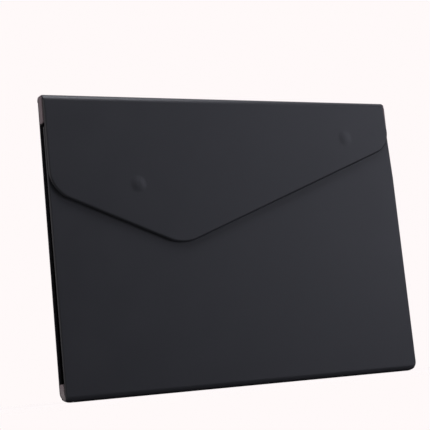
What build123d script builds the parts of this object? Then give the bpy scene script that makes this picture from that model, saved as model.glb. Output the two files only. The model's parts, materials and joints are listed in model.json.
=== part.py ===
"""Document wallet for A4 paper, closed and standing on its bottom fold.

X runs from left to right across the front, Y from the front to the back and Z up.
The origin is the middle of the wallet's box, on the surface that it stands on.

A back panel, a front panel and a flap are boards wrapped in a smooth skin and lined.
The panels meet at a rounded fold along the bottom, and the flap hangs from a rounded
fold along the top. Gussets folded inwards close the sides of the pocket, ears close
the ends of the two folds, and magnets in the flap meet steel discs in the front panel.
"""

import os
from math import atan, cos, degrees, pi, sin, sqrt, tan

from build123d import *

# Overall size
width = 335
height = 245
bottom_depth = 13
mouth_depth = 8.8
mouth_drop = 25

# Sheets that every panel is built up from, outermost first
skin = 0.7
board = 0.9
lining = 0.4
turned_edge = 1.6
board_gap = 0.2
edge_round_share = 0.7

# Folds, and the corners of the wallet seen from the front
bottom_front_radius = 2.6
bottom_rear_radius = 3
top_front_radius = 4
top_rear_radius = 5
bottom_corner_radius = 8
front_corner_radius = 1.5
top_corner_radius = 2
mouth_corner_radius = 3
crease_gap = 0.3

# Ears at the ends of the folds
bottom_ear_height = 14.5
ear_above_mouth = 1.5
ear_gap = 0.4
ear_corner_radius = 1.2
right_ear_inset = 1.5
seam_gap = 0.2

# Gussets at the sides of the pocket
gusset_leaf = 14
gusset_sheet = 0.6
gusset_inset = 2
gusset_gap = 0.3

# Flap outline, measured from the mouth down and from the left edge, before rounding
flap_left_inset = 2.6
flap_right_inset = 3
flap_top_right_inset = 4.3
flap_left_overlap = 54.1
flap_right_overlap = 16.5
flap_tip_overlap = 100.7
flap_tip_from_left = 113.8
flap_corner_radius = 20
flap_tip_radius = 32
flap_mouth_gap = 0.6
flap_tip_gap = 0.6

# Magnets in the flap, and the steel discs behind them
magnet_diameter = 12
left_magnet_from_left = 77.5
left_magnet_below_mouth = 49
right_magnet_from_right = 50
right_magnet_below_mouth = 9
bump_rise = 0.6
bump_slope = 2.6
keeper_diameter = 11
disc_gap = 0.2

# Values that follow from the sizes above
panel = skin + board + lining
fold_sheet = skin + lining
edge_round = edge_round_share * panel
half_width = width / 2
through = bottom_depth * 3
mouth_height = height - mouth_drop
back_inside = bottom_depth - panel

front_lean = atan((bottom_depth - mouth_depth) / (mouth_height - bottom_front_radius))
front_foot = bottom_front_radius + crease_gap
front_top = bottom_front_radius + (mouth_height - bottom_front_radius) / cos(front_lean)

flap_face = bottom_depth - mouth_depth - flap_mouth_gap - panel
flap_top = height - top_front_radius
flap_left = -half_width + flap_left_inset
flap_right = half_width - flap_right_inset
flap_top_right = half_width - flap_top_right_inset
flap_tip_height = mouth_height - flap_tip_overlap
flap_tip_face = (flap_tip_height - bottom_front_radius) * tan(front_lean) - flap_tip_gap - panel
flap_lean = atan((flap_face - flap_tip_face) / (flap_top - flap_tip_height))

front_fold_y = flap_face + top_front_radius
rear_fold_y = bottom_depth - top_rear_radius
rear_fold_z = height - top_rear_radius

left_magnet = (-half_width + left_magnet_from_left, mouth_height - left_magnet_below_mouth)
right_magnet = (half_width - right_magnet_from_right, mouth_height - right_magnet_below_mouth)

# The foremost point is the tip of the flap, and the rearmost the back panel
tip_front = flap_face - (flap_top - flap_tip_height) * sin(flap_lean)
origin_y = (tip_front + bottom_depth) / 2


def front_inside(z):
    """Where the inner face of the leaning front panel is at a height."""
    return (z - bottom_front_radius) * tan(front_lean) + panel / cos(front_lean)


def span(low, high):
    """A rectangle between two corners."""
    size = Vector(*high) - Vector(*low)
    middle = (Vector(*high) + Vector(*low)) / 2
    return Pos(middle.X, middle.Y) * Rectangle(size.X, size.Y)


def slab(outline, front, thickness):
    """A flat sheet of an outline drawn in X and Z, from its front face backwards."""
    return Pos(0, front, 0) * extrude(Plane.XZ * outline, thickness, dir=Axis.Y.direction)


def bar(section):
    """A section drawn in Y and Z, run along the whole width."""
    return extrude(Plane.YZ * section, half_width, both=True)


def low_corners(outline):
    """The corners along the lower edge of an outline, from left to right."""
    return outline.vertices().group_by(Axis.Y)[0].sort_by(Axis.X)


def high_corners(outline):
    """The corners along the upper edge of an outline, from left to right."""
    return outline.vertices().group_by(Axis.Y)[-1].sort_by(Axis.X)


def skin_tray(outline, fold_heights):
    """The skin of a panel, turned in round its board, square where it goes on into a fold."""
    tray = slab(outline, 0, panel)
    face = tray.faces().sort_by(Axis.Y)[0]
    free = [e for e in face.edges() if min(abs(e.center().Z - z) for z in fold_heights) > seam_gap]
    tray = fillet(free, edge_round)
    return tray - slab(offset(outline, -turned_edge), skin, board + lining)


def inner_sheet(outline, front, thickness):
    """A board or a lining that lies in the tray of a skin."""
    return slab(offset(outline, -turned_edge - board_gap), front, thickness)


def disc(place, diameter, front, thickness):
    """A flat disc that faces the front."""
    return slab(Pos(*place) * Circle(diameter / 2), front, thickness)


def lean_front(shape):
    """Turns a piece of the front panel back about the bottom crease."""
    return shape.rotate(Axis((0, 0, bottom_front_radius), Axis.X.direction), -degrees(front_lean))


def lean_flap(shape):
    """Hangs a piece of the flap from the top fold, with its tip a little forward."""
    hung = Pos(0, flap_face, 0) * shape
    return hung.rotate(Axis((0, flap_face, flap_top), Axis.X.direction), -degrees(flap_lean))


# The wallet seen from the front, and the band that a sheet makes round its edge. The front
# is nearly square at its lower left corner, and reaches past the round of the sheets behind it.
square = span((-half_width, 0), (half_width, height))
silhouette = fillet(low_corners(square), bottom_corner_radius)
silhouette = fillet(high_corners(silhouette), top_corner_radius)
front_silhouette = fillet(low_corners(square)[0], front_corner_radius)
front_silhouette = fillet(low_corners(front_silhouette)[-1], bottom_corner_radius)
seen = slab(silhouette, -bottom_depth, through)
edge_band = seen - slab(offset(silhouette, -fold_sheet), -bottom_depth, through)

pieces = {}

# Back panel, upright, with its skin outwards
back_outline = silhouette & span((-half_width, bottom_rear_radius), (half_width, rear_fold_z))
back_sheets = {
    "back_skin": skin_tray(back_outline, (bottom_rear_radius, rear_fold_z)),
    "back_board": inner_sheet(back_outline, skin, board),
    "back_lining": inner_sheet(back_outline, skin + board, lining),
}
for name, sheet in back_sheets.items():
    pieces[name] = Pos(0, bottom_depth, 0) * mirror(sheet, Plane.XZ)

# Bottom fold, a shallow trough that the ears close at its ends
trough = span((0, 0), (bottom_depth, height))
trough = fillet(low_corners(trough)[0], bottom_front_radius)
trough = fillet(low_corners(trough)[-1], bottom_rear_radius)
front_wall = span((0, 0), (bottom_front_radius, bottom_front_radius))
rear_wall = span((bottom_front_radius, 0), (bottom_depth, bottom_rear_radius))
trough_sheet = (trough - offset(trough, -fold_sheet)) & (front_wall + rear_wall)

ear_front = front_inside(bottom_ear_height) + ear_gap
ear_rear = back_inside - ear_gap
bottom_ear = span((ear_front, 0), (ear_rear, bottom_ear_height))
bottom_ear = trough & fillet(high_corners(bottom_ear), ear_corner_radius)
trough_half = half_width - bottom_corner_radius
left_end = span((-half_width, 0), (-trough_half, bottom_ear_height))
left_ear = bar(bottom_ear) & edge_band & slab(left_end, -bottom_depth, through)
left_slot = slab(left_end, ear_front - seam_gap, ear_rear - ear_front + seam_gap * 2)

front_lip = slab(front_silhouette, -bottom_depth, bottom_depth + ear_front - seam_gap)
pieces["bottom_skin"] = (bar(trough_sheet) & (seen + front_lip)) - left_slot - mirror(left_slot, Plane.YZ)
pieces["left_bottom_ear"] = left_ear
pieces["right_bottom_ear"] = mirror(left_ear, Plane.YZ)
floor_board = span((-trough_half, fold_sheet), (trough_half, fold_sheet + board))
floor_depth = bottom_depth - bottom_front_radius - bottom_rear_radius
pieces["bottom_board"] = slab(floor_board, bottom_front_radius, floor_depth)


def gusset_section(z):
    """The inward fold of the left gusset at a height: two leaves of one length."""
    near = front_inside(z) + gusset_gap
    far = back_inside - gusset_gap
    half = (far - near) / 2
    reach = sqrt(gusset_leaf**2 - half**2)
    outer = -half_width + gusset_inset
    across = gusset_sheet * gusset_leaf / reach
    along = gusset_sheet * gusset_leaf / half
    inside_fold = [(outer, near), (outer + reach, near + half), (outer, far)]
    outside_fold = [(outer, far - across), (outer + reach - along, near + half), (outer, near + across)]
    return Pos(0, 0, z) * make_face(Polyline(*inside_fold, *outside_fold, close=True))


# Gussets, pinched together towards the mouth
gusset_ends = (bottom_corner_radius + gusset_gap, mouth_height - gusset_gap)
pieces["left_gusset"] = loft([gusset_section(z) for z in gusset_ends], ruled=True)
pieces["right_gusset"] = mirror(pieces["left_gusset"], Plane.YZ)

# Top fold: a narrow spine between two quarter rounds, with an ear at each end
rear_ring = Circle(top_rear_radius) - Circle(top_rear_radius - fold_sheet)
rear_ring = rear_ring & span((0, 0), (top_rear_radius, top_rear_radius))
front_ring = Circle(top_front_radius) - Circle(top_front_radius - fold_sheet)
front_ring = front_ring & span((-top_front_radius, 0), (0, top_front_radius))
pieces["top_rear_fold"] = bar(Pos(rear_fold_y, rear_fold_z) * rear_ring) & seen
flap_end = fillet(high_corners(span((-half_width, 0), (flap_top_right, height))), top_corner_radius)
flap_roll = bar(Pos(front_fold_y, flap_top) * front_ring)
pieces["top_front_fold"] = flap_roll & slab(flap_end, -bottom_depth, through)

spine_half = half_width - top_corner_radius
spine = span((-spine_half, height - fold_sheet), (spine_half - right_ear_inset, height))
pieces["top_spine"] = slab(spine, front_fold_y, rear_fold_y - front_fold_y)

ear_foot = mouth_height + ear_above_mouth
ear_plate = span((flap_face + panel + ear_gap, ear_foot), (ear_rear, height - fold_sheet - ear_gap))
ear_plate = fillet(low_corners(ear_plate), ear_corner_radius)
ear_plate = fillet(high_corners(ear_plate)[0], top_front_radius - panel)
ear_plate = fillet(high_corners(ear_plate)[-1], top_rear_radius - panel)
top_ear = ear_plate + span((front_fold_y, ear_foot + ear_corner_radius), (rear_fold_y, height))
left_end = span((-half_width, mouth_height), (-spine_half, height))
pieces["left_top_ear"] = bar(top_ear) & edge_band & slab(left_end, -bottom_depth, through)
pieces["right_top_ear"] = Pos(-right_ear_inset, 0, 0) * mirror(pieces["left_top_ear"], Plane.YZ)

# Front panel, leaning back about the bottom crease, with a steel disc behind each magnet
front_outline = front_silhouette & span((-half_width, front_foot), (half_width, front_top))
front_outline = fillet(high_corners(front_outline), mouth_corner_radius)
front_board = inner_sheet(front_outline, skin, board)
for place in (left_magnet, right_magnet):
    front_board -= disc(place, keeper_diameter + disc_gap * 2, skin, board)
front_sheets = {
    "front_skin": skin_tray(front_outline, (front_foot,)),
    "front_board": front_board,
    "front_lining": inner_sheet(front_outline, skin + board, lining),
    "left_keeper": disc(left_magnet, keeper_diameter, skin, board),
    "right_keeper": disc(right_magnet, keeper_diameter, skin, board),
}
for name, sheet in front_sheets.items():
    pieces[name] = lean_front(sheet)

# Flap, a little narrower than the pocket: its lower edge falls to a rounded tip left of the middle
flap_outline = make_face(
    Polyline(
        (-half_width, flap_top),
        (flap_left, mouth_height - flap_left_overlap),
        (-half_width + flap_tip_from_left, flap_tip_height),
        (flap_right, mouth_height - flap_right_overlap),
        (flap_top_right, flap_top),
        close=True,
    )
)
flap_outline = fillet(low_corners(flap_outline), flap_tip_radius)
for side, overlap in ((flap_left, flap_left_overlap), (flap_right, flap_right_overlap)):
    corner = flap_outline.vertices().sort_by_distance((side, mouth_height - overlap, 0))[0]
    flap_outline = fillet(corner, flap_corner_radius)

# A magnet stands proud of the flap's board and raises a soft bump in the skin
bump_top = magnet_diameter / 2 + skin / 2
bump_foot = bump_top + bump_slope
bump_middle = ((bump_top + bump_foot) / 2, bump_rise / 2)
lower_curve = TangentArc((bump_foot, 0), bump_middle, tangent=-Axis.X.direction)
upper_curve = TangentArc(bump_middle, (bump_top, bump_rise), tangent=lower_curve % 1)
rest = Polyline((bump_top, bump_rise), (0, bump_rise), (0, -skin / 2), (bump_foot, -skin / 2), (bump_foot, 0))
bump = revolve(make_face(lower_curve + upper_curve + rest), Axis.Y)
bump = mirror(bump, Plane.XZ)

flap_skin = skin_tray(flap_outline, (flap_top,))
flap_board = inner_sheet(flap_outline, skin, board)
magnet_thickness = board + bump_rise
for place in (left_magnet, right_magnet):
    pocket = disc(place, magnet_diameter + disc_gap * 2, skin - bump_rise, magnet_thickness)
    flap_skin = flap_skin + Pos(place[0], 0, place[1]) * bump - pocket
    flap_board -= pocket
flap_sheets = {
    "flap_skin": flap_skin,
    "flap_board": flap_board,
    "flap_lining": inner_sheet(flap_outline, skin + board, lining),
    "left_magnet": disc(left_magnet, magnet_diameter, skin - bump_rise, magnet_thickness),
    "right_magnet": disc(right_magnet, magnet_diameter, skin - bump_rise, magnet_thickness),
}
for name, sheet in flap_sheets.items():
    pieces[name] = lean_flap(sheet)

# A soft fold turns about a line that keeps its sheet at its own length when laid flat
rear_turn = pi / 4 * (top_rear_radius - fold_sheet / 2)
front_turn = pi / 4 * (top_front_radius - fold_sheet / 2)
print("mouth crease  y %.3f  z %.3f" % (-origin_y, bottom_front_radius))
print("rear fold     y %.3f  z %.3f" % (rear_fold_y + rear_turn - origin_y, rear_fold_z + rear_turn))
print("front fold    y %.3f  z %.3f" % (front_fold_y - front_turn - origin_y, flap_top + front_turn))
print("pocket        y %.3f to %.3f at the mouth" % (front_inside(mouth_height) - origin_y, back_inside - origin_y))
print("lean          front %.3f  flap %.3f degrees" % (degrees(front_lean), degrees(flap_lean)))

os.makedirs("parts", exist_ok=True)
for name, shape in pieces.items():
    export_step(Pos(0, -origin_y, 0) * shape, f"parts/{name}.step")
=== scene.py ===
"""A slim document wallet in smooth charcoal skin, closed and standing on its bottom fold.

Lengths are in metres: X runs across the front, Y from the front to the back, and Z up.
"""

import json
from math import acos, cos, hypot, pi, radians, sin, sqrt, tan

import bmesh
import bpy
from mathutils import Matrix, Vector

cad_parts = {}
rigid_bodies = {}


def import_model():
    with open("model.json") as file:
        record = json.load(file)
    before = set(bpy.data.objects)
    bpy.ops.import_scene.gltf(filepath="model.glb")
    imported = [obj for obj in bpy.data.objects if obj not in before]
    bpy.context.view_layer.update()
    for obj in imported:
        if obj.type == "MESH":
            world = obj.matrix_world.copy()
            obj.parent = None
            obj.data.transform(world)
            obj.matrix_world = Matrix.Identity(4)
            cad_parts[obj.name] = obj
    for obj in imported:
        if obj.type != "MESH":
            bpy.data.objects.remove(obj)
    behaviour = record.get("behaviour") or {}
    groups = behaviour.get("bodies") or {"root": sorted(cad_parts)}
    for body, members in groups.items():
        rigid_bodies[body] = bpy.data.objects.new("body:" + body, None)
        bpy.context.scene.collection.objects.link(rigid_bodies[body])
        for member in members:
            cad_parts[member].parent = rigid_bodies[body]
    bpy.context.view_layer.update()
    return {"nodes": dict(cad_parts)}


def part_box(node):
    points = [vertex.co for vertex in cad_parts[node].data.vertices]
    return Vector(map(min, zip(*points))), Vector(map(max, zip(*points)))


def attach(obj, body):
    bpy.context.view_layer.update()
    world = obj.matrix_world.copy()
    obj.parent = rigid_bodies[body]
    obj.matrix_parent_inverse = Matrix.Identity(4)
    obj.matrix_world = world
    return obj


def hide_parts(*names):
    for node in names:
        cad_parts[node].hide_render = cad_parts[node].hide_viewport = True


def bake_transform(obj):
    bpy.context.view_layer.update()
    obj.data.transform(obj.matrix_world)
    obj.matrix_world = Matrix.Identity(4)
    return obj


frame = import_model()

# Skin: a thin leather cloth with a satin face and a fine pebbled grain. It is pressed over the
# boards. Along the turned edges and the top fold it is a little paler and smoother, partly from
# wear and partly as a painted highlight where those edges catch the light.
mm = 0.001
skin_dark, skin_light = (0.0205, 0.0212, 0.0248, 1), (0.0265, 0.0272, 0.0312, 1)
skin_worn_highlight = (0.052, 0.052, 0.056, 1)


class Wire:
    """One output of a node in a finish. Sums on it add Math nodes."""

    def __init__(self, tree, end=None):
        self.tree, self.end = tree, end

    def node(self, kind, settings=None, sockets=None, out=0):
        """Adds a node, sets it up, fills its sockets with values or wires, and gives one output."""
        node = self.tree.nodes.new(kind)
        for name, value in (settings or {}).items():
            setattr(node, name, value)
        for name, value in (sockets or {}).items():
            if isinstance(value, Wire):
                self.tree.links.new(value.end, node.inputs[name])
            else:
                node.inputs[name].default_value = value
        return Wire(self.tree, node.outputs[out])

    def sum(self, operation, first, second):
        return self.node("ShaderNodeMath", {"operation": operation}, {0: first, 1: second})

    def __add__(self, other):
        return self.sum("ADD", self, other)

    def __radd__(self, other):
        return self.sum("ADD", other, self)

    def __sub__(self, other):
        return self.sum("SUBTRACT", self, other)

    def __rsub__(self, other):
        return self.sum("SUBTRACT", other, self)

    def __mul__(self, other):
        return self.sum("MULTIPLY", self, other)

    def __rmul__(self, other):
        return self.sum("MULTIPLY", other, self)


def new_finish(name, **constants):
    """A material with one shader, whose constant values are set on its own sockets."""
    finish = bpy.data.materials.new(name)
    finish.use_nodes = True
    shader = finish.node_tree.nodes["Principled BSDF"]
    for socket, value in constants.items():
        shader.inputs[socket.replace("_", " ")].default_value = value
    return finish, Wire(finish.node_tree), shader


def feed(shader, **wires):
    """Links what changes over the surface to the shader."""
    for socket, wire in wires.items():
        wire.tree.links.new(wire.end, shader.inputs[socket.replace("_", " ")])


def mix(share, first, second):
    """One colour turning into another, on the colour sockets of a Mix node."""
    return share.node("ShaderNodeMix", {"data_type": "RGBA"}, {0: share, 6: first, 7: second}, 2)


skin_finish, wire, shader = new_finish("charcoal_skin", Specular_IOR_Level=0.42)
place = wire.node("ShaderNodeTexCoord", out="Object")
mottle = wire.node("ShaderNodeTexNoise", None, {"Vector": place, "Scale": 38, "Detail": 3})
drift = wire.node("ShaderNodeTexNoise", None, {"Vector": place, "Scale": 7, "Detail": 1})
pebble = wire.node("ShaderNodeTexVoronoi", {"feature": "SMOOTH_F1"},
                   {"Vector": place, "Scale": 1500, "Smoothness": 0.7})
pore = wire.node("ShaderNodeTexNoise", None, {"Vector": place, "Scale": 3800, "Detail": 2})
# Paler tone along the marked edges: partly wear, partly a painted highlight.
wear_and_highlight = wire.node("ShaderNodeAttribute", {"attribute_name": "wear_and_highlight"}, out="Fac")
wear_and_highlight_share = wear_and_highlight * (0.35 + 0.65 * mottle)
tone = mix(wear_and_highlight_share * 0.5, mix(mottle, skin_dark, skin_light), skin_worn_highlight)
roughness = 0.4 + 0.1 * mottle + 0.1 * drift + 0.05 * pore - 0.06 * wear_and_highlight_share
grain = pebble * 0.7 + pore * 0.3
relief = wire.node("ShaderNodeBump", None,
                   {"Strength": 0.22, "Distance": 0.04 * mm, "Height": grain})
feed(shader, Base_Color=tone, Roughness=roughness, Normal=relief)

# Back panel: a stiff board wrapped in the skin, whose edges are turned in round the board. It
# stands upright, and its skin carries on into the bottom fold and the top fold.
wallet_width = 335 * mm
half_width = wallet_width / 2
panel = 2 * mm
skin_sheet = 0.7 * mm
turned_edge = 1.6 * mm
edge_round = 1.4 * mm
bed_edge = 0.25 * mm
bottom_corner = 8 * mm
touch = 0.01 * mm
sharp = radians(50)
back_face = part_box("back_skin")[1].y
back_foot, back_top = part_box("back_skin")[0].z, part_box("back_skin")[1].z
back_place = Matrix.Translation((0, back_face, 0)) @ Matrix.Rotation(pi, 4, "Z")


def blank(name, low, high, width):
    """A flat upright sheet between two heights, facing the front."""
    bpy.ops.object.select_all(action="DESELECT")
    bpy.ops.mesh.primitive_plane_add(size=1, rotation=(pi / 2, 0, 0),
                                     location=(0, 0, (low + high) / 2))
    piece = bpy.context.object
    piece.name = piece.data.name = name
    piece.scale = (width, high - low, 1)
    bpy.ops.object.transform_apply(location=True, rotation=True, scale=True)
    bpy.ops.object.mode_set(mode="EDIT")
    return piece


def select(piece, kind, test):
    """Selects the corners, edges or faces of a piece whose middles pass a test."""
    bpy.ops.mesh.select_mode(type=kind)
    bpy.ops.mesh.select_all(action="DESELECT")
    mesh = bmesh.from_edit_mesh(piece.data)
    for part in {"VERT": mesh.verts, "EDGE": mesh.edges, "FACE": mesh.faces}[kind]:
        corners = [part] if kind == "VERT" else part.verts
        if test(sum((c.co for c in corners), Vector()) / len(corners)):
            part.select_set(True)
    mesh.select_flush_mode()
    bmesh.update_edit_mesh(piece.data)


def round_corners(piece, offset, test, steps=10):
    """Rounds corners of a flat outline, from an offset along the edges on each side of them."""
    select(piece, "VERT", test)
    bpy.ops.mesh.bevel(offset=offset, segments=steps, affect="VERTICES")


def cut(point, away, clear=True):
    """Cuts the sheet at hand along a plane, and drops the side that the plane faces if clear."""
    bpy.ops.mesh.select_all(action="SELECT")
    bpy.ops.mesh.bisect(plane_co=point, plane_no=away, clear_outer=clear)


def wrap(piece, folds, turn=edge_round):
    """Makes an outline a panel: rounds its free edges and sinks the bed of board and lining.

    The edges at the heights of the folds stay square, and nothing leaves the outline's box.
    """
    bpy.ops.object.mode_set(mode="OBJECT")
    outline = [point.co.copy() for point in piece.data.vertices]
    bpy.ops.object.mode_set(mode="EDIT")
    bpy.ops.mesh.select_all(action="SELECT")
    bpy.ops.mesh.extrude_region_move(TRANSFORM_OT_translate={"value": (0, panel, 0)})
    bpy.ops.mesh.select_all(action="SELECT")
    bpy.ops.mesh.normals_make_consistent(inside=False)
    select(piece, "EDGE",
           lambda p: p.y < touch and min(abs(p.z - fold) for fold in folds) > touch)
    bpy.ops.mesh.bevel(offset=turn, segments=8, affect="EDGES")
    select(piece, "FACE", lambda p: p.y > panel - touch)
    bpy.ops.mesh.inset(thickness=turned_edge)
    bpy.ops.mesh.extrude_region_move(TRANSFORM_OT_translate={"value": (0, skin_sheet - panel, 0)})
    select(piece, "EDGE", lambda p: p.y > panel - touch)
    bpy.ops.mesh.bevel(offset=bed_edge, segments=3, affect="EDGES")
    bpy.ops.object.mode_set(mode="OBJECT")
    for axis in (0, 2):
        reach = [corner[axis] for corner in outline]
        low, high = min(reach), max(reach)
        for point in piece.data.vertices:
            point.co[axis] = min(max(point.co[axis], low), high)


def mark_wear_and_highlight(piece, wear_and_highlight_at):
    """Marks each point's share of the paler edge tone, from 0 to 1: partly wear, partly a painted
    highlight.
    """
    wear_and_highlight_share = piece.data.attributes.new("wear_and_highlight", "FLOAT", "POINT")
    for mark, point in zip(wear_and_highlight_share.data, piece.data.vertices):
        mark.value = min(max(wear_and_highlight_at(point.co), 0), 1)


def smooth(piece):
    """Smooth rounded edges beside faces that stay flat."""
    bpy.context.view_layer.objects.active = piece
    piece.select_set(True)
    bpy.ops.object.shade_smooth_by_angle(angle=sharp)
    modifier = piece.modifiers.new("even", "WEIGHTED_NORMAL")
    modifier.keep_sharp = True
    modifier.weight = 90
    bpy.ops.object.modifier_apply(modifier=modifier.name)


back_cover = blank("back_cover", 0, back_top, wallet_width)
round_corners(back_cover, bottom_corner, lambda p: p.z < bottom_corner)
cut((0, 0, back_foot), (0, 0, -1))
wrap(back_cover, (back_foot, back_top))
# Paler turned edges: partly wear, partly a painted highlight.
mark_wear_and_highlight(back_cover, lambda p: p.y / edge_round)
back_cover.data.transform(back_place)
smooth(back_cover)
back_cover.data.materials.append(skin_finish)
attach(back_cover, "back")
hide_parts("back_skin")

# Linings: a fine matt cloth in near black, glued into the bed of each panel and flush with the
# turned edges round it. The back one is cut first, and the others follow with their panels.
cloth_sheet = 0.4 * mm
cloth_inset = 1.8 * mm
cloth_edge = 0.15 * mm
cloth_pitch = 0.45 * mm
cloth_dark, cloth_light = (0.0085, 0.0085, 0.0095, 1), (0.021, 0.021, 0.0235, 1)


def threads(vector, direction, pitch, wander):
    """Even threads at a pitch: a wave repeats every pi / 10 at a scale of 1."""
    return vector.node("ShaderNodeTexWave", {"bands_direction": direction},
                       {"Vector": vector, "Scale": pi / 10 / pitch, "Distortion": wander,
                        "Detail": 1})


lining_finish, wire, shader = new_finish("lining_cloth", Specular_IOR_Level=0.25,
                                         Sheen_Weight=0.12, Sheen_Roughness=0.5)
place = wire.node("ShaderNodeTexCoord", out="Object")
across = threads(place, "X", cloth_pitch, 0.4)
upward = threads(place, "Z", cloth_pitch, 0.4)
slub = wire.node("ShaderNodeTexNoise", None, {"Vector": place, "Scale": 260, "Detail": 4})
weave = wire.sum("MAXIMUM", across, upward) * 0.8 + slub * 0.4
tone = mix(weave, cloth_dark, cloth_light)
relief = wire.node("ShaderNodeBump", None,
                   {"Strength": 0.5, "Distance": 0.12 * mm, "Height": weave})
feed(shader, Base_Color=tone, Roughness=0.72 + slub * 0.2, Normal=relief)


def lay_cloth(piece):
    """Gives a cut lining its thickness, behind the bed of its panel, and soft edges."""
    bpy.ops.mesh.select_all(action="SELECT")
    bpy.ops.mesh.extrude_region_move(TRANSFORM_OT_translate={"value": (0, cloth_sheet, 0)})
    bpy.ops.mesh.select_all(action="SELECT")
    bpy.ops.transform.translate(value=(0, panel - cloth_sheet, 0))
    bpy.ops.mesh.normals_make_consistent(inside=False)
    select(piece, "EDGE", lambda p: p.y > panel - touch)
    bpy.ops.mesh.bevel(offset=cloth_edge, segments=2, affect="EDGES")
    bpy.ops.object.mode_set(mode="OBJECT")


cloth_width = wallet_width - 2 * cloth_inset
back_cloth = blank("back_cloth", cloth_inset, back_top - cloth_inset, cloth_width)
round_corners(back_cloth, bottom_corner - cloth_inset, lambda p: p.z < bottom_corner)
cut((0, 0, back_foot + cloth_inset), (0, 0, -1))
lay_cloth(back_cloth)
back_cloth.data.transform(back_place)
smooth(back_cloth)
back_cloth.data.materials.append(lining_finish)
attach(back_cloth, "back")
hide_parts("back_lining")

# Bottom fold: the skin runs on from the back panel under the wallet and up to the front crease.
# It is lined and has no board in its rounds. Its ends are cut to the wallet's round corners, and
# at the front left to a nearly square one, set in a little with the front panel.
fold_sheet = 1.1 * mm
fold_edge = 0.3 * mm
weld = 0.002 * mm
bottom_depth = 13 * mm
bottom_front_round = 2.6 * mm
bottom_sweep = 5 * mm
front_corner = 1.5 * mm
front_inset = 0.65 * mm
bottom_rear_round = 3 * mm
front_face = back_face - bottom_depth
front_bend, rear_bend = front_face + bottom_sweep, back_face - bottom_rear_round
bottom_tab_front, bottom_tab_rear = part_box("left_bottom_ear")[0].y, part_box("left_bottom_ear")[1].y
tab_seam = 0.2 * mm


def strip(name, low, high, facing):
    """A flat sheet between two corners, facing along one axis."""
    bpy.ops.object.select_all(action="DESELECT")
    low, high = Vector(low), Vector(high)
    bpy.ops.mesh.primitive_plane_add(size=1)
    piece = bpy.context.object
    piece.name = piece.data.name = name
    turn = Vector((0, 0, 1)).rotation_difference(Vector(facing)).to_matrix().to_4x4()
    size = turn.inverted().to_3x3() @ (high - low)
    piece.data.transform(turn @ Matrix.Diagonal((abs(size.x), abs(size.y), 1, 1)))
    piece.data.transform(Matrix.Translation((low + high) / 2))
    bpy.ops.object.mode_set(mode="EDIT")
    return piece


def trim_end(piece, side, centre, radius, start, test, steps=9):
    """Cuts the faces that pass a test to a round corner of the wallet, in flats that touch it.

    They face outwards through a quarter turn, from a start in degrees above level.
    """
    for step in range(steps):
        angle = radians(start + 90 / steps * step)
        away = Vector((side * cos(angle), 0, sin(angle)))
        select(piece, "FACE", test)
        bpy.ops.mesh.bisect(plane_co=Vector((side * centre[0], 0, centre[1])) + away * radius,
                            plane_no=away, clear_outer=True)


def face_out():
    """Closes the seams of the sheet at hand and turns its face outwards."""
    bpy.ops.mesh.select_all(action="SELECT")
    bpy.ops.mesh.remove_doubles(threshold=weld)
    bpy.ops.mesh.normals_make_consistent(inside=False)


def at_end(edge, reach):
    """Whether an edge lies wholly further out than a distance from the wallet's middle."""
    return min(abs(corner.co.x) for corner in edge.verts) > reach


def thicken(piece, thickness, ends):
    """Gives a shaped sheet its thickness inwards, with its second finish, and softens its ends."""
    bpy.ops.object.mode_set(mode="OBJECT")
    modifier = piece.modifiers.new("sheet", "SOLIDIFY")
    modifier.thickness = thickness
    modifier.offset = -1
    modifier.use_even_offset = True
    modifier.material_offset = 1
    modifier.material_offset_rim = 0
    bpy.ops.object.modifier_apply(modifier=modifier.name)
    bpy.ops.object.mode_set(mode="EDIT")
    if ends:
        bpy.ops.mesh.select_mode(type="EDGE")
        bpy.ops.mesh.select_all(action="DESELECT")
        mesh = bmesh.from_edit_mesh(piece.data)
        for edge in mesh.edges:
            if len(edge.link_faces) == 2 and edge.calc_face_angle() > sharp and ends(edge):
                edge.select_set(True)
        bmesh.update_edit_mesh(piece.data)
        bpy.ops.mesh.bevel(offset=fold_edge, segments=3, affect="EDGES", clamp_overlap=True)
    bpy.ops.object.mode_set(mode="OBJECT")


bottom_fold = strip("bottom_fold", (-half_width, front_bend, 0), (half_width, rear_bend, 0),
                    (0, 0, -1))
select(bottom_fold, "EDGE", lambda p: p.y < front_bend + touch)
bpy.ops.mesh.spin(steps=8, angle=acos(1 - bottom_front_round / bottom_sweep), axis=(1, 0, 0),
                  center=(0, front_bend, bottom_sweep))
select(bottom_fold, "EDGE", lambda p: abs(p.y - rear_bend) < touch and p.z < touch)
bpy.ops.mesh.spin(steps=8, angle=-pi / 2, axis=(1, 0, 0),
                  center=(0, rear_bend, bottom_rear_round))
lip, seam = bottom_tab_front - tab_seam, bottom_tab_rear + tab_seam
corner_start = half_width - bottom_corner
for side in (-1, 1):
    cut((side * corner_start, 0, 0), (side, 0, 0), clear=False)
for depth in (lip, seam):
    cut((0, depth, 0), (0, 1, 0), clear=False)
select(bottom_fold, "FACE", lambda p: abs(p.x) > corner_start and lip < p.y < seam)
bpy.ops.mesh.delete(type="FACE")
for side, radius, inset, test in (
    (-1, front_corner, front_inset, lambda p: p.x < -corner_start and p.y < lip),
    (-1, bottom_corner, 0, lambda p: p.x < -corner_start and p.y > seam),
    (1, bottom_corner, 0, lambda p: p.x > corner_start),
):
    trim_end(bottom_fold, side, (half_width - inset - radius, radius), radius, start=-81,
             test=test)
face_out()
thicken(bottom_fold, fold_sheet, lambda e: at_end(e, corner_start - mm))
for point in bottom_fold.data.vertices:
    if point.co.y < front_bend:
        point.co.z = min(point.co.z, bottom_front_round)
mark_wear_and_highlight(bottom_fold, lambda p: 1 - p.z / bottom_front_round)
smooth(bottom_fold)
bottom_fold.data.materials.append(skin_finish)
bottom_fold.data.materials.append(lining_finish)
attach(bottom_fold, "back")
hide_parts("bottom_skin")
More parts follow.
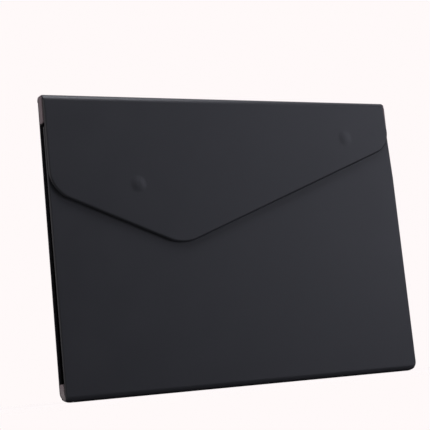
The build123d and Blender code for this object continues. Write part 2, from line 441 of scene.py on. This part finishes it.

# Bottom tabs: ends of the bottom fold that bend up between the panels and close its corners.
# Each is a tongue with rounded upper corners. Its pale tone is painted light, standing in for the
# light the tabs catch from the left, with a painted highlight growing towards the bend at its foot.
bottom_tab_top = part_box("left_bottom_ear")[1].z
tab_corner = 1.2 * mm
# Painted light: pale tones that stand in for the light the tabs catch from the left.
tab_painted_light_low, tab_painted_light_high = (0.195, 0.152, 0.159, 1), (0.28, 0.218, 0.228, 1)
tab_foot_painted_highlight = (0.52, 0.47, 0.455, 1)

tab_finish, wire, shader = new_finish("napped_skin", Specular_IOR_Level=0.3, Sheen_Weight=0.1)
place = wire.node("ShaderNodeTexCoord", out="Object")
nap = wire.node("ShaderNodeTexNoise", None,
                {"Vector": place, "Scale": 2600, "Detail": 4, "Roughness": 0.65})
cloud = wire.node("ShaderNodeTexNoise", None, {"Vector": place, "Scale": 140, "Detail": 2})
wear_and_highlight = wire.node("ShaderNodeAttribute", {"attribute_name": "wear_and_highlight"}, out="Fac")
tone = mix(nap * 0.5 + cloud * 0.5, tab_painted_light_low, tab_painted_light_high)
# Painted highlight towards the foot of each bottom tab.
tone = mix(wear_and_highlight * (0.75 + cloud * 0.5), tone, tab_foot_painted_highlight)
relief = wire.node("ShaderNodeBump", None, {"Strength": 0.4, "Distance": 0.08 * mm, "Height": nap})
feed(shader, Base_Color=tone, Roughness=0.6 + nap * 0.25, Normal=relief)


def mirrored(piece, name):
    """A copy of a piece for the other end of the wallet, with its own mesh."""
    twin = piece.copy()
    twin.data = piece.data.copy()
    twin.name = twin.data.name = name
    bpy.context.scene.collection.objects.link(twin)
    twin.data.transform(Matrix.Scale(-1, 4, (1, 0, 0)))
    twin.data.flip_normals()
    return twin


def finish_tab(piece, body, node, wear_and_highlight_share, right_inset):
    """Thickens a tab, rounds it all over and puts it in place, and its twin at the right end."""
    face_out()
    thicken(piece, fold_sheet, lambda e: True)
    mark_wear_and_highlight(piece, wear_and_highlight_share)
    bpy.context.view_layer.objects.active = piece
    bpy.ops.object.shade_smooth_by_angle(angle=sharp)
    twin = mirrored(piece, piece.name.replace("left", "right"))
    twin.data.transform(Matrix.Translation((-right_inset, 0, 0)))
    for tab, end in ((piece, "left"), (twin, "right")):
        tab.data.materials.append(tab_finish)
        tab.data.materials.append(tab_finish)
        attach(tab, body)
        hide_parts(f"{end}_{node}")


left_bottom_tab = strip("left_bottom_tab", (-half_width, bottom_tab_front, bottom_corner),
                        (-half_width, bottom_tab_rear, bottom_tab_top), (-1, 0, 0))
round_corners(left_bottom_tab, tab_corner, lambda p: p.z > bottom_tab_top - touch, steps=4)
select(left_bottom_tab, "EDGE", lambda p: p.z < bottom_corner + touch)
bpy.ops.mesh.spin(steps=9, angle=pi / 2, axis=(0, 1, 0),
                  center=(-half_width + bottom_corner, 0, bottom_corner))
# The bottom tab's painted highlight grows towards its foot.
finish_tab(left_bottom_tab, "back", "bottom_ear", lambda p: 1 - p.z / bottom_tab_top, 0)

# Gussets: black binding cloth, folded inwards once so that the pocket can open, and set darker
# still as painted shade for the recess between the panels. Each runs from the bottom corner to
# the mouth, where the leaning front panel pinches it together.
gusset_leaf = 14 * mm
gusset_sheet = 0.6 * mm
gusset_inset = 2 * mm
gusset_gap = 0.3 * mm
gusset_rows, gusset_columns = 48, 16
gusset_crease = radians(60)
fold_allowance = 0.4 * mm
fold_softness = 0.03
bow_mean, bow_swing, bow_turns = 0.35 * mm, 0.15 * mm, 19
bow_half = 4 * mm
mouth_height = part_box("left_gusset")[1].z + gusset_gap
lean = radians(1.1068)
rib_pitch = 0.8 * mm
# Black cloth tone, darkened further as painted shade for the recess.
gusset_black_and_shade_low, gusset_black_and_shade_high = (0.0008, 0.0008, 0.0009, 1), (0.003, 0.0029, 0.0031, 1)

gusset_finish, wire, shader = new_finish("binding_cloth", Specular_IOR_Level=0.03)
flat = wire.node("ShaderNodeUVMap", {"uv_map": "UVMap"})
along = threads(flat, "X", rib_pitch, 0.5)
over = threads(flat, "Y", rib_pitch / 2, 0.5)
fuzz = wire.node("ShaderNodeTexNoise", None, {"Vector": flat, "Scale": 900, "Detail": 3})
rib = along * 0.7 + over * 0.3
tone = mix(rib * fuzz, gusset_black_and_shade_low, gusset_black_and_shade_high)
relief = wire.node("ShaderNodeBump", None, {"Strength": 0.6, "Distance": 0.15 * mm, "Height": rib})
feed(shader, Base_Color=tone, Roughness=0.78 + fuzz * 0.2, Normal=relief)


def front_inside(z):
    """Where the inner face of the leaning front panel is at a height."""
    return front_face + (z - bottom_front_round) * tan(lean) + panel


gusset_foot, gusset_head = bottom_corner + gusset_gap, mouth_height - gusset_gap
bpy.ops.object.select_all(action="DESELECT")
bpy.ops.mesh.primitive_grid_add(x_subdivisions=gusset_columns, y_subdivisions=gusset_rows, size=1)
left_side = bpy.context.object
left_side.name = left_side.data.name = "left_gusset_cloth"
for point in left_side.data.vertices:
    share, climb = point.co.x + 0.5, point.co.y + 0.5
    z = gusset_foot + (gusset_head - gusset_foot) * climb
    near, far = front_inside(z) + gusset_gap, back_face - panel - gusset_gap
    half = (far - near) / 2
    reach = sqrt((gusset_leaf - fold_allowance) ** 2 - half**2)
    turn = abs(2 * share - 1)
    fold = 1 - sqrt(turn**2 + fold_softness**2) + fold_softness * (1 - turn)
    bow = sin(pi * turn) * sin(2 * pi * share) * (bow_mean + bow_swing * sin(bow_turns * climb))
    point.co = (-half_width + gusset_inset + reach * max(fold, 0),
                near + 2 * half * share + bow * half / bow_half, z)
for loop in left_side.data.uv_layers.active.data:
    loop.uv = (loop.uv[0] * 2 * gusset_leaf, loop.uv[1] * (gusset_head - gusset_foot))
bpy.ops.object.mode_set(mode="EDIT")
thicken(left_side, gusset_sheet, None)
bpy.ops.object.shade_smooth_by_angle(angle=gusset_crease)
across = Vector((0, cos(lean), -sin(lean)))
meets_front = Vector((0, front_inside(gusset_head), gusset_head))
pinch = back_face - panel - front_inside(gusset_head)
for side, end in ((left_side, "left"), (mirrored(left_side, "right_gusset_cloth"), "right")):
    side.data.materials.append(gusset_finish)
    side.data.materials.append(gusset_finish)
    meets_front + across * pinch
    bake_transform(side)
    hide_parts(f"{end}_gusset")

# Front panel: made as the back one, but it leans back towards the mouth, because the wallet is
# thickest at the bottom. Its foot is the crease, and its lower left corner stays square. Its left
# edge is set in beside the gusset, and its right edge is drawn in towards the mouth.
mouth_corner = 3 * mm
mouth_inset, mouth_taper = 1.35 * mm, 45 * mm
front_top = bottom_front_round + (mouth_height - bottom_front_round) / cos(lean)
sweep_row = 0.4 * mm
front_rows = 6


def draw_in(piece):
    """Sets in the left edge of a front sheet, and its right edge towards the mouth."""
    middle = front_top / 2
    select(piece, "EDGE", lambda p: p.x > half_width / 2)
    bpy.ops.mesh.subdivide(number_cuts=1)
    for test, move in (
        (lambda p: p.x < 0, (front_inset, 0, 0)),
        (lambda p: p.x > 0 and p.z > front_top - mouth_corner, (-mouth_inset, 0, 0)),
        (lambda p: p.x > 0 and abs(p.z - middle) < touch, (0, 0, middle - mouth_taper)),
    ):
        select(piece, "VERT", test)
        bpy.ops.transform.translate(value=move)


def carry_sweep(piece, sweep, past):
    """Carries the round of a fold on into the face of a panel, less and less towards its back."""
    for point in piece.data.vertices:
        depth = max(past(point.co.z), 0)
        point.co.y += (sweep - sqrt(sweep**2 - depth**2)) * (1 - point.co.y / panel)


def stand(piece, face, pivot, angle):
    """Moves a finished panel to its face, leaning about a line across it."""
    place = Matrix.Translation((0, face, pivot)) @ Matrix.Rotation(-angle, 4, "X")
    piece.data.transform(place @ Matrix.Translation((0, 0, -pivot)))
    smooth(piece)


front_cover = blank("front_cover", 0, front_top, wallet_width)
draw_in(front_cover)
round_corners(front_cover, bottom_corner, lambda p: p.z < bottom_corner and p.x > 0)
round_corners(front_cover, mouth_corner, lambda p: p.z > front_top - touch, steps=6)
cut((0, 0, bottom_front_round), (0, 0, -1))
wrap(front_cover, (bottom_front_round,))
bpy.ops.object.mode_set(mode="EDIT")
for row in range(1, front_rows + 1):
    cut((0, 0, bottom_front_round + sweep_row * row), (0, 0, 1), clear=False)
bpy.ops.object.mode_set(mode="OBJECT")
# Paler turned edges: partly wear, partly a painted highlight.
mark_wear_and_highlight(front_cover, lambda p: p.y / edge_round)
carry_sweep(front_cover, bottom_sweep, lambda z: bottom_sweep - z)
stand(front_cover, front_face, bottom_front_round, lean)
front_cover.data.materials.append(skin_finish)
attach(front_cover, "front")
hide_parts("front_skin")

front_cloth = blank("front_cloth", cloth_inset, front_top - cloth_inset, cloth_width)
draw_in(front_cloth)
round_corners(front_cloth, bottom_corner - cloth_inset,
              lambda p: p.z < bottom_corner and p.x > 0)
round_corners(front_cloth, mouth_corner - cloth_inset,
              lambda p: p.z > front_top - mouth_corner, steps=4)
cut((0, 0, bottom_front_round + cloth_inset), (0, 0, -1))
lay_cloth(front_cloth)
stand(front_cloth, front_face, bottom_front_round, lean)
front_cloth.data.materials.append(lining_finish)
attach(front_cloth, "front")
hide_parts("front_lining")

# Top fold: a narrow flat spine between two quarter rounds, one turning down into the back panel
# and one into the flap. It is bent from one strip, and the two soft rounds are then its hinges.
height = 245 * mm
top_front_round = 4 * mm
top_sweep = 5.6 * mm
top_rear_round = 5 * mm
top_corner = 2 * mm
end_margin = 0.5 * mm
end_slant = 0.7
flap_top_left, flap_top_right = half_width - 0.9 * mm, half_width - 4.3 * mm
right_end = half_width - 1.5 * mm
flap_face = front_face + 1.6 * mm
flap_bend = flap_face + top_sweep
spine_front = flap_face + top_front_round
spine_rear = back_face - top_rear_round
flap_top = height - top_front_round


def across_end(edge):
    """Whether an edge is at an end of the top fold and runs across it, not along it."""
    run = abs(edge.verts[0].co.x - edge.verts[1].co.x)
    return (at_end(edge, flap_top_right - top_corner - end_margin)
            and run < end_slant * edge.calc_length())


spine_strip = strip("spine_strip", (-half_width, flap_bend, height),
                    (half_width, spine_rear, height), (0, 0, 1))
select(spine_strip, "EDGE", lambda p: p.y > spine_rear - touch)
bpy.ops.mesh.spin(steps=12, angle=pi / 2, axis=(1, 0, 0),
                  center=(0, spine_rear, height - top_rear_round))
select(spine_strip, "EDGE", lambda p: abs(p.y - flap_bend) < touch and p.z > height - touch)
bpy.ops.mesh.spin(steps=12, angle=-acos(1 - top_front_round / top_sweep), axis=(1, 0, 0),
                  center=(0, flap_bend, height - top_sweep))
cut((0, spine_front, 0), (0, 1, 0), clear=False)
rolls = {}
for name, test in (("rear_roll", lambda p: p.y > spine_rear),
                   ("front_roll", lambda p: p.y < spine_front)):
    select(spine_strip, "FACE", test)
    known = set(bpy.data.objects)
    bpy.ops.mesh.separate(type="SELECTED")
    rolls[name] = (set(bpy.data.objects) - known).pop()
    rolls[name].name = rolls[name].data.name = name
for piece, left, right in (
    (spine_strip, half_width, right_end),
    (rolls["rear_roll"], half_width, half_width),
    (rolls["front_roll"], flap_top_left, flap_top_right),
):
    bpy.ops.object.mode_set(mode="OBJECT")
    bpy.ops.object.select_all(action="DESELECT")
    bpy.context.view_layer.objects.active = piece
    piece.select_set(True)
    bpy.ops.object.mode_set(mode="EDIT")
    for side, end in ((-1, left), (1, right)):
        if piece == spine_strip:
            cut((side * (end - top_corner), 0, 0), (side, 0, 0))
        else:
            trim_end(piece, side, (end - top_corner, height - top_corner), top_corner, start=0,
                     test=lambda p: True)
    if piece != spine_strip:
        face_out()
    thicken(piece, fold_sheet, across_end)
    if piece == rolls["front_roll"]:
        for point in piece.data.vertices:
            point.co.z = max(point.co.z, flap_top)
    # Paler towards the crown of the top fold: partly wear, partly a painted highlight along the top
    # rim.
    mark_wear_and_highlight(piece, lambda p: (p.z - flap_top) / top_front_round)
    bpy.ops.object.shade_smooth_by_angle(angle=sharp)
    piece.data.materials.append(skin_finish)
    piece.data.materials.append(lining_finish)
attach(spine_strip, "spine")
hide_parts("top_spine")
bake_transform(rolls["rear_roll"])
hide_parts("top_rear_fold")
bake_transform(rolls["front_roll"])
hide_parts("top_front_fold")

# Top tabs: the ends of the spine bend down under the rounds and widen into tongues, which cover
# the upper ends of the gussets when the wallet is shut and swing up with the spine.
top_tab_front, top_tab_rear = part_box("left_top_ear")[0].y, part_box("left_top_ear")[1].y
top_tab_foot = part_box("left_top_ear")[0].z
tab_shoulder = 0.8 * mm
bend = height - top_corner

left_top_tab = strip("left_top_tab", (-half_width, top_tab_front, top_tab_foot),
                     (-half_width, top_tab_rear, bend), (-1, 0, 0))
round_corners(left_top_tab, tab_corner, lambda p: p.z < top_tab_foot + touch, steps=4)
select(left_top_tab, "EDGE", lambda p: p.z > bend - touch)
bpy.ops.mesh.spin(steps=8, angle=-pi / 2, axis=(0, 1, 0),
                  center=(-half_width + top_corner, 0, bend))
drop = top_sweep - sqrt(top_sweep**2 - (top_sweep - top_front_round) ** 2)
for beside, move in ((lambda p: p.y < spine_front, (0, spine_front - top_tab_front, -drop)),
                     (lambda p: p.y > spine_rear, (0, spine_rear - top_tab_rear, 0))):
    select(left_top_tab, "VERT", lambda p: beside(p) and p.z > bend + top_corner / 2)
    bpy.ops.transform.translate(value=move)
cut((0, 0, height - top_sweep), (0, 0, 1), clear=False)
select(left_top_tab, "VERT", lambda p: p.y < spine_front - touch and p.z > bend - touch)
bpy.ops.transform.translate(value=(0, tab_shoulder, 0))
finish_tab(left_top_tab, "spine", "top_ear", lambda p: 0, half_width - right_end)

# Flap: a board wrapped in the skin that hangs over the front, a little narrower than the pocket.
# Its lower edge falls to a rounded tip left of the middle, and two magnets raise soft bumps.
flap_hang = radians(0.916)
flap_left, flap_right = -half_width + 1.2 * mm, half_width - 1.3 * mm
flap_left_foot = mouth_height - 53.6 * mm
flap_right_foot = mouth_height - 15.9 * mm
flap_tip = (-half_width + 113.8 * mm, mouth_height - 100.7 * mm)
flap_edge = 1.7 * mm
flap_left_corner, flap_right_corner = 23 * mm, 20 * mm
flap_tip_round = 32 * mm
flap_rows = 4
bumps = ((-half_width + 77.5 * mm, mouth_height - 49 * mm, 0.6 * mm),
         (half_width - 50 * mm, mouth_height - 9 * mm, 0.38 * mm))
bump_field, bump_cuts = 13 * mm, 51
bump_core, bump_reach = 1.2 * mm, 6.8 * mm


def flap_blank(name, inset):
    """The outline of the flap, or of its lining at an inset, with rounded corners and tip."""
    low = flap_tip[1]
    corners = [Vector(c) for c in ((-flap_top_left, flap_top), (flap_left, flap_left_foot),
                                   flap_tip, (flap_right, flap_right_foot),
                                   (flap_top_right, flap_top))]
    runs = [(corners[i - 4] - corners[i]).normalized() for i in range(5)]
    piece = blank(name, low, flap_top, wallet_width)
    select(piece, "EDGE", lambda p: p.z < low + touch)
    bpy.ops.mesh.subdivide(number_cuts=1)
    for i, x in enumerate((-half_width, -half_width, 0, half_width, half_width)):
        start = Vector((x, 0, flap_top if i in (0, 4) else low))
        inwards = runs[i - 1].orthogonal() + runs[i].orthogonal()
        corners[i] += inwards * inset / (1 + runs[i - 1].dot(runs[i]))
        select(piece, "VERT", lambda p: (p - start).length < touch)
        bpy.ops.transform.translate(value=(corners[i].x - start.x, 0, corners[i].y - start.z))
    for i, radius in ((1, flap_left_corner), (2, flap_tip_round), (3, flap_right_corner)):
        turn = runs[i - 1].angle(runs[i])
        round_corners(piece, (radius - inset) * tan(turn / 2),
                      lambda p: hypot(p.x - corners[i].x, p.z - corners[i].y) < touch, steps=14)
    return piece


flap_cover = flap_blank("flap_cover", 0)
wrap(flap_cover, (flap_top,), flap_edge)
bpy.ops.object.mode_set(mode="EDIT")
for row in range(1, flap_rows + 1):
    cut((0, 0, flap_top - sweep_row * row), (0, 0, 1), clear=False)
for x, z, _ in bumps:
    for point, away in (((x - bump_field, 0, 0), (1, 0, 0)), ((x + bump_field, 0, 0), (1, 0, 0)),
                        ((0, 0, z - bump_field), (0, 0, 1)), ((0, 0, z + bump_field), (0, 0, 1))):
        select(flap_cover, "FACE", lambda p: abs(p.y) < touch)
        bpy.ops.mesh.bisect(plane_co=point, plane_no=away)
for x, z, rise in bumps:
    select(flap_cover, "FACE", lambda p: abs(p.y) < touch and hypot(p.x - x, p.z - z) < touch)
    bpy.ops.mesh.subdivide(number_cuts=bump_cuts)
    select(flap_cover, "VERT", lambda p: abs(p.y) < touch and hypot(p.x - x, p.z - z) < bump_core)
    bpy.ops.transform.translate(value=(0, -rise, 0), use_proportional_edit=True,
                                proportional_edit_falloff="SMOOTH", proportional_size=bump_reach)
bpy.ops.object.mode_set(mode="OBJECT")
# Paler turned edges: partly wear, partly a painted highlight.
mark_wear_and_highlight(flap_cover, lambda p: p.y / flap_edge)
carry_sweep(flap_cover, top_sweep, lambda z: z - height + top_sweep)
stand(flap_cover, flap_face, flap_top, flap_hang)
flap_cover.data.materials.append(skin_finish)
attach(flap_cover, "flap")
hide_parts("flap_skin")

flap_cloth = flap_blank("flap_cloth", cloth_inset)
lay_cloth(flap_cloth)
stand(flap_cloth, flap_face, flap_top, flap_hang)
flap_cloth.data.materials.append(lining_finish)
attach(flap_cloth, "flap")
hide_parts("flap_lining")

# Boards: grey-brown stiffeners of pressed fibre, sealed inside the panels. The one along the
# bottom keeps the bottom fold flat.
board_dark, board_light = (0.22, 0.19, 0.145, 1), (0.37, 0.325, 0.255, 1)


def refinish(nodes, finish):
    """Gives solids that keep their own shape a finish."""
    for node in nodes:
        frame["nodes"][node].data.materials.clear()
        frame["nodes"][node].data.materials.append(finish)


board_finish, wire, shader = new_finish("fibre_board", Specular_IOR_Level=0.3)
place = wire.node("ShaderNodeTexCoord", out="Object")
fibre = wire.node("ShaderNodeTexNoise", None,
                  {"Vector": place, "Scale": 900, "Detail": 5, "Roughness": 0.7})
patch = wire.node("ShaderNodeTexNoise", None, {"Vector": place, "Scale": 60, "Detail": 2})
fleck = wire.node("ShaderNodeTexVoronoi", None, {"Vector": place, "Scale": 420})
tone = mix(fibre * 0.7 + patch * 0.3, board_dark, board_light)
relief = wire.node("ShaderNodeBump", None,
                   {"Strength": 0.4, "Distance": 0.1 * mm, "Height": fibre + fleck * 0.3})
feed(shader, Base_Color=tone, Roughness=0.8 + fibre * 0.15, Normal=relief)
refinish(("back_board", "front_board", "flap_board", "bottom_board"), board_finish)

# Magnets and the steel discs behind them: nickel plate on the magnets, plain brushed steel on
# the discs. They lie in round holes of the boards, under the skin.
for nodes, name, bright, dull, low in (
    (("left_magnet", "right_magnet"), "nickel_plate",
     (0.62, 0.61, 0.58, 1), (0.5, 0.49, 0.47, 1), 0.16),
    (("left_keeper", "right_keeper"), "brushed_disc",
     (0.5, 0.5, 0.51, 1), (0.36, 0.36, 0.37, 1), 0.3),
):
    metal_finish, wire, shader = new_finish(name, Metallic=1.0)
    place = wire.node("ShaderNodeTexCoord", out="Object")
    brushed = wire.node("ShaderNodeMapping", None, {"Vector": place, "Scale": (120, 900, 4200)})
    scratch = wire.node("ShaderNodeTexNoise", None, {"Vector": brushed, "Scale": 1, "Detail": 4})
    stain = wire.node("ShaderNodeTexNoise", None, {"Vector": place, "Scale": 220, "Detail": 2})
    relief = wire.node("ShaderNodeBump", None,
                       {"Strength": 0.2, "Distance": 0.02 * mm, "Height": scratch})
    feed(shader, Base_Color=mix(scratch * 0.6 + stain * 0.4, dull, bright),
         Roughness=low + 0.2 * scratch + 0.1 * stain, Normal=relief)
    refinish(nodes, metal_finish)

# Studio: a pale floor that runs on into a pale wall. A soft key light stands at the right, a small
# one hangs steeply above, and two dim cards at the left light the tabs and the turned edges.
wall_tone = (1, 0.947, 0.947, 1)
card_tint = (1, 0.96, 0.98)
wall_side = (0.2, 0.62, 0.76)

bpy.ops.object.select_all(action="DESELECT")
bpy.ops.mesh.primitive_plane_add(size=12)
studio_floor = bpy.context.object
studio_floor.name = studio_floor.data.name = "studio_floor"
floor_finish = bpy.data.materials.new("pale_floor")
floor_finish.use_nodes = True
wire = Wire(floor_finish.node_tree)
seen = wire.node("ShaderNodeLightPath", out="Is Camera Ray")
dull = wire.node("ShaderNodeBsdfDiffuse", None, {"Color": (0.2, 0.2, 0.205, 1)})
pale = wire.node("ShaderNodeBsdfDiffuse", None, {"Color": (0.1, 0.0947, 0.0947, 1)})
glow = wire.node("ShaderNodeEmission", None, {"Color": wall_tone, "Strength": 0.91})
lit = wire.node("ShaderNodeAddShader", None, {0: pale, 1: glow})
place = wire.node("ShaderNodeTexCoord", out="Object")
apart = wire.node("ShaderNodeVectorMath", {"operation": "LENGTH"}, {0: place}, "Value")
fade = wire.node("ShaderNodeMapRange", {"interpolation_type": "SMOOTHSTEP"},
                 {"Value": apart, "From Min": 0.2, "From Max": 0.7})
clear = wire.node("ShaderNodeBsdfTransparent")
shown = wire.node("ShaderNodeMixShader", None, {0: fade, 1: lit, 2: clear})
both = wire.node("ShaderNodeMixShader", None, {0: seen, 1: dull, 2: shown})
floor_out = floor_finish.node_tree.nodes["Material Output"]
floor_finish.node_tree.links.new(both.end, floor_out.inputs["Surface"])
studio_floor.data.materials.append(floor_finish)

room = bpy.data.worlds.new("room")
bpy.context.scene.world = room
room.use_nodes = True
wire = Wire(room.node_tree)
seen = wire.node("ShaderNodeLightPath", out="Is Camera Ray")
backdrop = wire.node("ShaderNodeBackground", None, {"Color": wall_tone, "Strength": 1.0})
aim = wire.node("ShaderNodeTexCoord", out="Generated")
facing = wire.node("ShaderNodeVectorMath", {"operation": "DOT_PRODUCT"},
                   {0: aim, 1: wall_side}, "Value")
wall = wire.node("ShaderNodeMapRange", {"interpolation_type": "SMOOTHSTEP"},
                 {"Value": facing, "From Min": 0.5, "From Max": 0.95,
                  "To Min": 0.04, "To Max": 0.7})
bounce = wire.node("ShaderNodeBackground", None, {"Color": (0.95, 0.93, 1, 1), "Strength": wall})
both = wire.node("ShaderNodeMixShader", None, {0: seen, 1: bounce, 2: backdrop})
room.node_tree.links.new(both.end, room.node_tree.nodes["World Output"].inputs["Surface"])

for name, place, aim, size, watts, tint in (
    ("key_light", (1.5, -1.1, 0.6), (0.02, 0, 0.12), (0.9, 1.1), 11.85, (0.85, 0.86, 1)),
    ("top_light", (0.05, -0.33, 1.3), (0, 0, 0.15), (0.5, 0.35), 10.8, (0.91, 0.92, 1)),
    ("side_card", (-1.25, -0.3, 0.45), (-0.16, 0, 0.15), (1.6, 0.8), 3.3, card_tint),
    ("rear_card", (-1.0, 0.6, 0.35), (-0.16, 0, 0.13), (0.6, 0.9), 1.9, card_tint),
):
    lamp = bpy.data.lights.new(name, "AREA")
    lamp.shape = "RECTANGLE"
    lamp.size, lamp.size_y = size
    lamp.energy, lamp.color = watts, tint
    light = bpy.data.objects.new(name, lamp)
    bpy.context.scene.collection.objects.link(light)
    light.location = place
    light.rotation_euler = (Vector(aim) - Vector(place)).to_track_quat("-Z", "Y").to_euler()
bpy.context.scene.view_settings.view_transform = "Standard"

# Camera: near the floor and to the left of the wallet, as in the photograph, tilted up and
# rolled a little.
tilt, roll, turn = 97.644, 5.2793, -27.6366
lens = bpy.data.cameras.new("camera")
lens.sensor_width = 36
lens.lens = 105.46
camera = bpy.data.objects.new("camera", lens)
bpy.context.scene.collection.objects.link(camera)
camera.location = (-519.2 * mm, front_face - 920.7 * mm, 4 * mm)
camera.rotation_euler = [radians(angle) for angle in (tilt, roll, turn)]
bpy.context.scene.camera = camera
